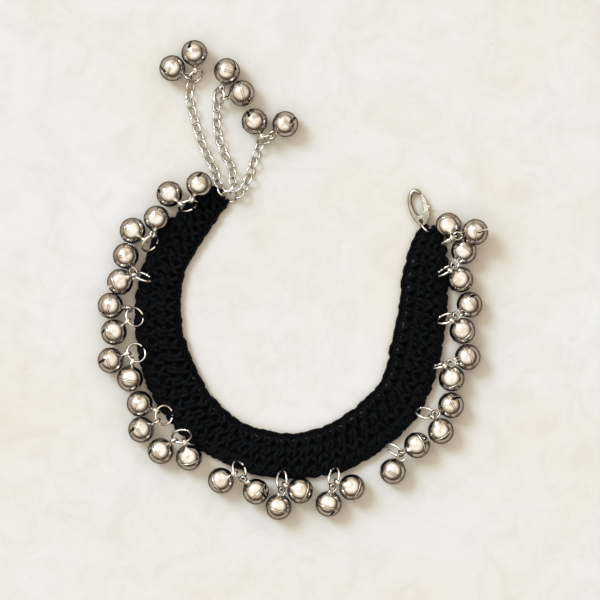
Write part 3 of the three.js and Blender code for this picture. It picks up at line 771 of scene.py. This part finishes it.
def make_bells():
    pellets = Builder()
    for i, name in enumerate(bell_names):
        centre, axis, hole = bell_frames[name]
        side = np.cross(axis, hole)
        mesh = SHAPES[i % len(SHAPES)].copy()
        mesh.name = "metal_" + name
        mesh.transform(placed(centre, side, axis, hole))
        piece = add_object("metal_" + name, mesh)
        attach(piece, "necklace")
        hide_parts(name)
        # the loose pellet that rings it, at rest in the lowest place of the cavity
        middle = centre + np.array([0, 0, -(BALL - SHEET - PELLET - PELLET_GAP)])
        phi = 2 * np.pi * np.arange(14) / 14
        rows = []
        for a in np.radians(np.linspace(-88, 88, 9)):
            r, z = PELLET * math.cos(a), PELLET * math.sin(a)
            rows.append(middle + np.stack([r * np.cos(phi), r * np.sin(phi), np.full(14, z)], axis=1))
        pellets.grid(rows)
    piece = add_object("bell_pellets", pellets.mesh("bell_pellets"))
    piece.data.materials.append(pellet_steel)
    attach(piece, "necklace")


make_bells()


# ---------------------------------------------------------------- rings and chains

WIRE_SHARE = 0.97  # how thick the wire is drawn beside the part's own
RING_GAP, RING_SPRUNG = 0.10, 0.06  # how far a ring's cut ends stand apart, and half their shift out of line
LOOP_MIDDLE_Y = -15  # about the middle of the space that the necklace encloses


def ring_into(builder, centre, x, y, z, radius, wire_radius):
    """A wire ring whose two cut ends meet on its x axis, slightly out of line."""
    half = RING_GAP / radius / 2
    a = np.linspace(half, 2 * math.pi - half, 56)
    path = np.stack([radius * np.cos(a), radius * np.sin(a), RING_SPRUNG * (a / math.pi - 1)], axis=1)
    builder.tube(path @ np.stack([x, y, z]) + centre, wire_radius * WIRE_SHARE, start_normal=z)


def make_rings():
    for name in sorted(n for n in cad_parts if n.startswith("jump_ring_")):
        inside, co = volume_centroid(name)
        normal = np.linalg.eigh(np.cov((co - inside).T))[1][:, 0]
        # the cut in the wire lies low on the side of the band
        inward = np.array([-inside[0], LOOP_MIDDLE_Y - inside[1], 0.0])
        inward = unit(inward - normal * (inward @ normal))
        down = np.array([0, 0, -1.0]) - normal * -normal[2]
        x = unit(inward + unit(down) * 0.9)
        shape = Builder()
        ring_into(shape, inside, x, np.cross(normal, x), normal, BAND_RING_RADIUS, RING_WIRE)
        piece = add_object("wire_" + name, shape.mesh("wire_" + name))
        piece.data.materials.append(wire)
        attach(piece, "necklace")
        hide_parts(name)


make_rings()


def link_across(tangent, twist):
    side = unit(np.array([-tangent[1], tangent[0], 0]))
    over = np.cross(tangent, side)
    return side * math.cos(math.radians(twist)) + over * math.sin(math.radians(twist))


def link_into(builder, place, tangent, across, seed):
    """One curb link: an oval of wire, each end turned a little about its length."""
    rng = random.Random(seed)
    normal = np.cross(tangent, across)
    a = 2 * np.pi * np.arange(34) / 34
    x, y = LINK_HALF_LENGTH * np.cos(a), LINK_HALF_WIDTH * np.sin(a)
    z = 0.10 * np.sin(2 * a) * rng.uniform(0.7, 1.2)
    path = place + x[:, None] * tangent + y[:, None] * across + z[:, None] * normal
    builder.tube(path, LINK_WIRE * WIRE_SHARE, sides=10, closed=True, start_normal=normal)


def make_chains():
    tip_centre, tip_u, tip_v, tip_n = ring_frame(**TIP_RING)
    for name, links, tip_angle, route, first in CHAIN_ROWS:
        a = math.radians(tip_angle)
        start = tip_centre + RING_RADIUS * (tip_u * math.cos(a) + tip_v * math.sin(a))
        start_tangent = tip_v * math.cos(a) - tip_u * math.sin(a)
        curve = Route([start] + [np.array(p) + MIDDLE for p in route])
        shape = Builder()
        for i in range(links):
            place, tangent = (v[0] for v in curve.along(first + i * LINK_PITCH))
            across = link_across(tangent, LINK_TWIST if i % 2 else -LINK_TWIST)
            if i == 0:
                across = unit(np.cross(start_tangent, tangent))
            link_into(shape, place, tangent, across, 100 + i)
        wire_point = place + END_OFFSET * tangent
        hooks = []
        for suffix in ("a", "b"):
            centre, axis, hole = bell_frames[name.replace("chain", "bell") + "_" + suffix]
            hooks.append(centre + STRAP_REACH * axis)
        centre, x, y, z = circle_axes(wire_point, *hooks)
        ring_into(shape, centre, -x, -y, z, RING_RADIUS, RING_WIRE)
        if name == "chain_middle":
            ring_into(shape, tip_centre, -tip_v, tip_u, tip_n, RING_RADIUS, RING_WIRE)
        piece = add_object("wire_" + name, shape.mesh("wire_" + name))
        piece.data.materials.append(wire)
        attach(piece, "necklace")
        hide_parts(name)


make_chains()


# ---------------------------------------------------------------- the lobster clasp

def bezier(points, steps=14):
    """Points of an outline: each entry is a point, or three that end a cubic."""
    out = [np.array(points[0], float)]
    for entry in points[1:]:
        if isinstance(entry[0], tuple):
            a = out[-1]
            b, c, d = (np.array(p, float) for p in entry)
            for t in np.linspace(0, 1, steps + 1)[1:]:
                out.append(a * (1 - t) ** 3 + 3 * b * t * (1 - t) ** 2 + 3 * c * t * t * (1 - t) + d * t**3)
        else:
            out.append(np.array(entry, float))
    return np.array(out)


def rounded_plate(name, outline, hole, thickness, round_over, z=0.0):
    """A plate with a hole and rounded edges, its outline unchanged."""
    curve = bpy.data.curves.new(name, "CURVE")
    curve.dimensions = "2D"
    curve.fill_mode = "BOTH"
    curve.extrude = (thickness / 2 - round_over) * MM
    curve.bevel_depth = round_over * MM
    curve.bevel_resolution = 4
    curve.offset = -round_over * MM
    for loop in (outline, hole):
        spline = curve.splines.new("POLY")
        spline.points.add(len(loop) - 1)
        for point, (x, y) in zip(spline.points, loop):
            point.co = (x * MM, y * MM, 0, 1)
        spline.use_cyclic_u = True
    temp = bpy.data.objects.new(name, curve)
    bpy.context.scene.collection.objects.link(temp)
    bpy.context.view_layer.update()
    mesh = bpy.data.meshes.new_from_object(temp.evaluated_get(bpy.context.evaluated_depsgraph_get()))
    bpy.data.objects.remove(temp)
    mesh.transform(Matrix.Translation((0, 0, z * MM)))
    for polygon in mesh.polygons:
        polygon.use_smooth = True
    return mesh


def joined(name, meshes, matrix):
    """One object made of these meshes, moved to its place in the frame."""
    objects = [add_object(f"{name}_{k}", m) for k, m in enumerate(meshes)]
    piece = objects[0]
    with bpy.context.temp_override(active_object=piece, object=piece, selected_objects=objects,
                                   selected_editable_objects=objects):
        bpy.ops.object.join()
    piece.name = name
    piece.data.transform(matrix)
    return piece


def circle(centre, radius, count=28):
    """Points of a round hole or pin in the clasp's plane."""
    a = np.linspace(0, 2 * np.pi, count, endpoint=False)
    return np.stack([centre[0] + radius * np.cos(a), centre[1] + radius * np.sin(a)], axis=1)


def make_clasp():
    turn = Matrix.Rotation(math.radians(CLASP_HEADING), 4, "Z")
    turn = turn @ Matrix.Rotation(math.radians(CLASP_ROLL), 4, "Y")
    place = Matrix.Translation([(c + m) * MM for c, m in zip(CLASP_PLACE, MIDDLE)]) @ turn
    claw_outline = bezier([
        (-0.8, -4.2), ((-3.6, -1.2), (-4.2, 6.6), (-0.6, 7.4)), (1.5, 6.0), (2.4, 7.0),
        ((1.2, 8.8), (0.2, 9.3), (-0.8, 9.2)), ((-6.6, 8.0), (-6.0, -3.0), (-1.6, -8.6)),
        ((-1.0, -9.4), (0.6, -9.6), (1.4, -9.1)), ((2.0, -8.6), (1.8, -6.0), (1.1, -4.6)),
        ((0.6, -4.8), (-0.2, -4.7), (-0.8, -4.2)),
    ])
    cheek_outline = bezier([
        (1.4, -9.1), ((4.2, -7.4), (5.3, -3.6), (4.9, -2.6)), (1.6, -2.6),
        ((1.0, -4.4), (0.2, -4.8), (-0.8, -4.2)), (-1.6, -6.4), (-0.6, -8.6),
    ])
    lever_outline = bezier([
        (2.2, -5.2), ((3.4, -5.9), (4.4, -5.0), (4.3, -3.6)), (4.6, -1.4),
        ((4.9, -1.15), (5.6, -1.1), (6.0, -0.9)), (5.9, -0.1), ((5.4, -0.05), (4.8, -0.1), (4.6, 0.0)),
        ((4.4, 2.6), (3.6, 4.6), (2.6, 5.9)), (1.7, 5.3), ((2.2, 2.8), (2.2, -0.4), (1.9, -3.6)),
        ((1.7, -4.4), (1.8, -4.9), (2.2, -5.2)),
    ])
    eye = circle(EYE_PLACE, EYE_HOLE)
    parts = [rounded_plate("claw", claw_outline, eye, 2.8, 0.72)]
    for side, z in (("top", CHEEK_HEIGHT), ("low", -CHEEK_HEIGHT)):
        parts.append(rounded_plate("cheek_" + side, cheek_outline, eye, 0.58, 0.24, z=z))
    rivet = Builder()
    head = [(0.02, 1.50), (0.42, 1.47), (0.62, 1.36), (0.55, 1.30)]
    profile = [(r, -z) for r, z in head] + head[::-1]
    rivet.grid([np.column_stack([circle(PIN_PLACE, r, 20), np.full(20, z)]) for r, z in profile])
    parts.append(rivet.mesh("rivet"))
    body = joined("metal_clasp_body", parts, place)
    plate = rounded_plate("gate", lever_outline, circle(PIN_PLACE, PIN_HOLE, 20), 1.0, 0.34)
    lever = joined("metal_clasp_lever", [plate], place)
    ring = Builder()
    centre, u, v, n = ring_frame(**CLASP_RING)
    ring_into(ring, centre, -v, u, n, CLASP_RING_RADIUS, CLASP_RING_WIRE)
    link = add_object("wire_clasp_ring", ring.mesh("wire_clasp_ring"))
    for piece, body_name, cad, metal, slot in (
        (body, "necklace", "clasp_body", steel, "clasp_metal"),
        (lever, "lever", "clasp_lever", gate, "clasp_metal"),
        (link, "necklace", None, wire, "bright_metal"),
    ):
        piece.data.materials.clear()
        piece.data.materials.append(metal)
        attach(piece, body_name)
        if cad:
            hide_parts(cad)


make_clasp()


# ---------------------------------------------------------------- surface, light and camera

def make_floor():
    size, count = 3200.0, 24
    line = np.linspace(-size, size, count)
    xx, yy = (k.ravel() for k in np.meshgrid(line, line, indexing="ij"))
    i, j = (k.ravel() for k in np.meshgrid(np.arange(count - 1), np.arange(count - 1), indexing="ij"))
    first = i * count + j
    quads = np.stack([first, first + count, first + count + 1, first + 1], axis=1)
    mesh = make_mesh("plaster_surface", np.stack([xx, yy, np.zeros(count * count)], axis=1), [quads])
    floor = add_object("plaster_surface", mesh)
    floor.data.materials.append(plaster_material())


make_floor()


def make_world():
    """A dim warm room with one large soft window overhead to the upper left."""
    world = bpy.data.worlds.new("studio")
    bpy.context.scene.world = world
    tree = Nodes(world)
    direction = tree.add("ShaderNodeTexCoord").outputs["Generated"]
    height = tree.add("ShaderNodeSeparateXYZ", {0: direction}).outputs["Z"]
    room = tree.ramp(height, [
        (0.0, (0.50, 0.35, 0.22)), (0.08, (0.085, 0.052, 0.030)), (0.26, (0.12, 0.080, 0.050)),
        (0.50, (0.45, 0.39, 0.33)), (1.0, (0.70, 0.65, 0.60)),
    ])
    towards = Vector((-0.20, 0.25, 0.95)).normalized()
    near = tree.add("ShaderNodeVectorMath", {0: direction, 1: towards}, operation="DOT_PRODUCT").outputs["Value"]
    inner, outer = math.radians(42), math.radians(84)
    window = tree.add("ShaderNodeMapRange", {
        "Value": near, "From Min": math.cos(outer), "From Max": math.cos(inner),
    }, interpolation_type="SMOOTHSTEP").outputs[0]
    light = tree.mix(window, room, (2.06, 1.95, 1.77))
    background = tree.add("ShaderNodeBackground", {0: light, 1: 1.0})
    tree.add("ShaderNodeOutputWorld", {0: background.outputs[0]})


make_world()

key = bpy.data.lights.new("window", "SUN")
key.energy = 3.3
key.angle = math.radians(24)
key.color = (0.76, 0.90, 1.0)
key_object = bpy.data.objects.new("window", key)
bpy.context.scene.collection.objects.link(key_object)
key_object.rotation_euler = Vector((-0.62, 0.55, 0.80)).to_track_quat("Z", "Y").to_euler()

VIEW_WIDTH, VIEW_HEIGHT = 294.0, 4.0  # how much the picture spans at this height above the surface, mm
VIEW_CENTRE = (3.609, -9.750)  # the point straight below the camera
camera_data = bpy.data.cameras.new("view")
camera_data.type = "PERSP"
camera_data.sensor_width = 36
camera_data.lens = 245
camera = bpy.data.objects.new("view", camera_data)
bpy.context.scene.collection.objects.link(camera)
distance = VIEW_WIDTH * camera_data.lens / camera_data.sensor_width
camera.location = (VIEW_CENTRE[0] * MM, VIEW_CENTRE[1] * MM, (distance + VIEW_HEIGHT) * MM)
camera_data.clip_end = 100
bpy.context.scene.camera = camera

scene = bpy.context.scene
scene.view_settings.view_transform = "Standard"
scene.view_settings.look = "None"
scene.view_settings.exposure = 0.0
scene.view_settings.gamma = 1.0
# a mild print tone: middle tones go warm, whites and blacks stay neutral
scene.view_settings.use_curve_mapping = True
tones = scene.view_settings.curve_mapping
for curve, points in zip(tones.curves, (
    ((0.03, 0.030), (0.10, 0.105), (0.30, 0.325), (0.60, 0.615)),
    ((0.03, 0.030), (0.10, 0.096), (0.30, 0.290), (0.60, 0.592)),
    ((0.03, 0.030), (0.10, 0.085), (0.30, 0.252), (0.55, 0.498), (0.78, 0.772)),
)):
    for x, y in points:
        curve.points.new(x, y)
tones.update()

bpy.context.view_layer.update()
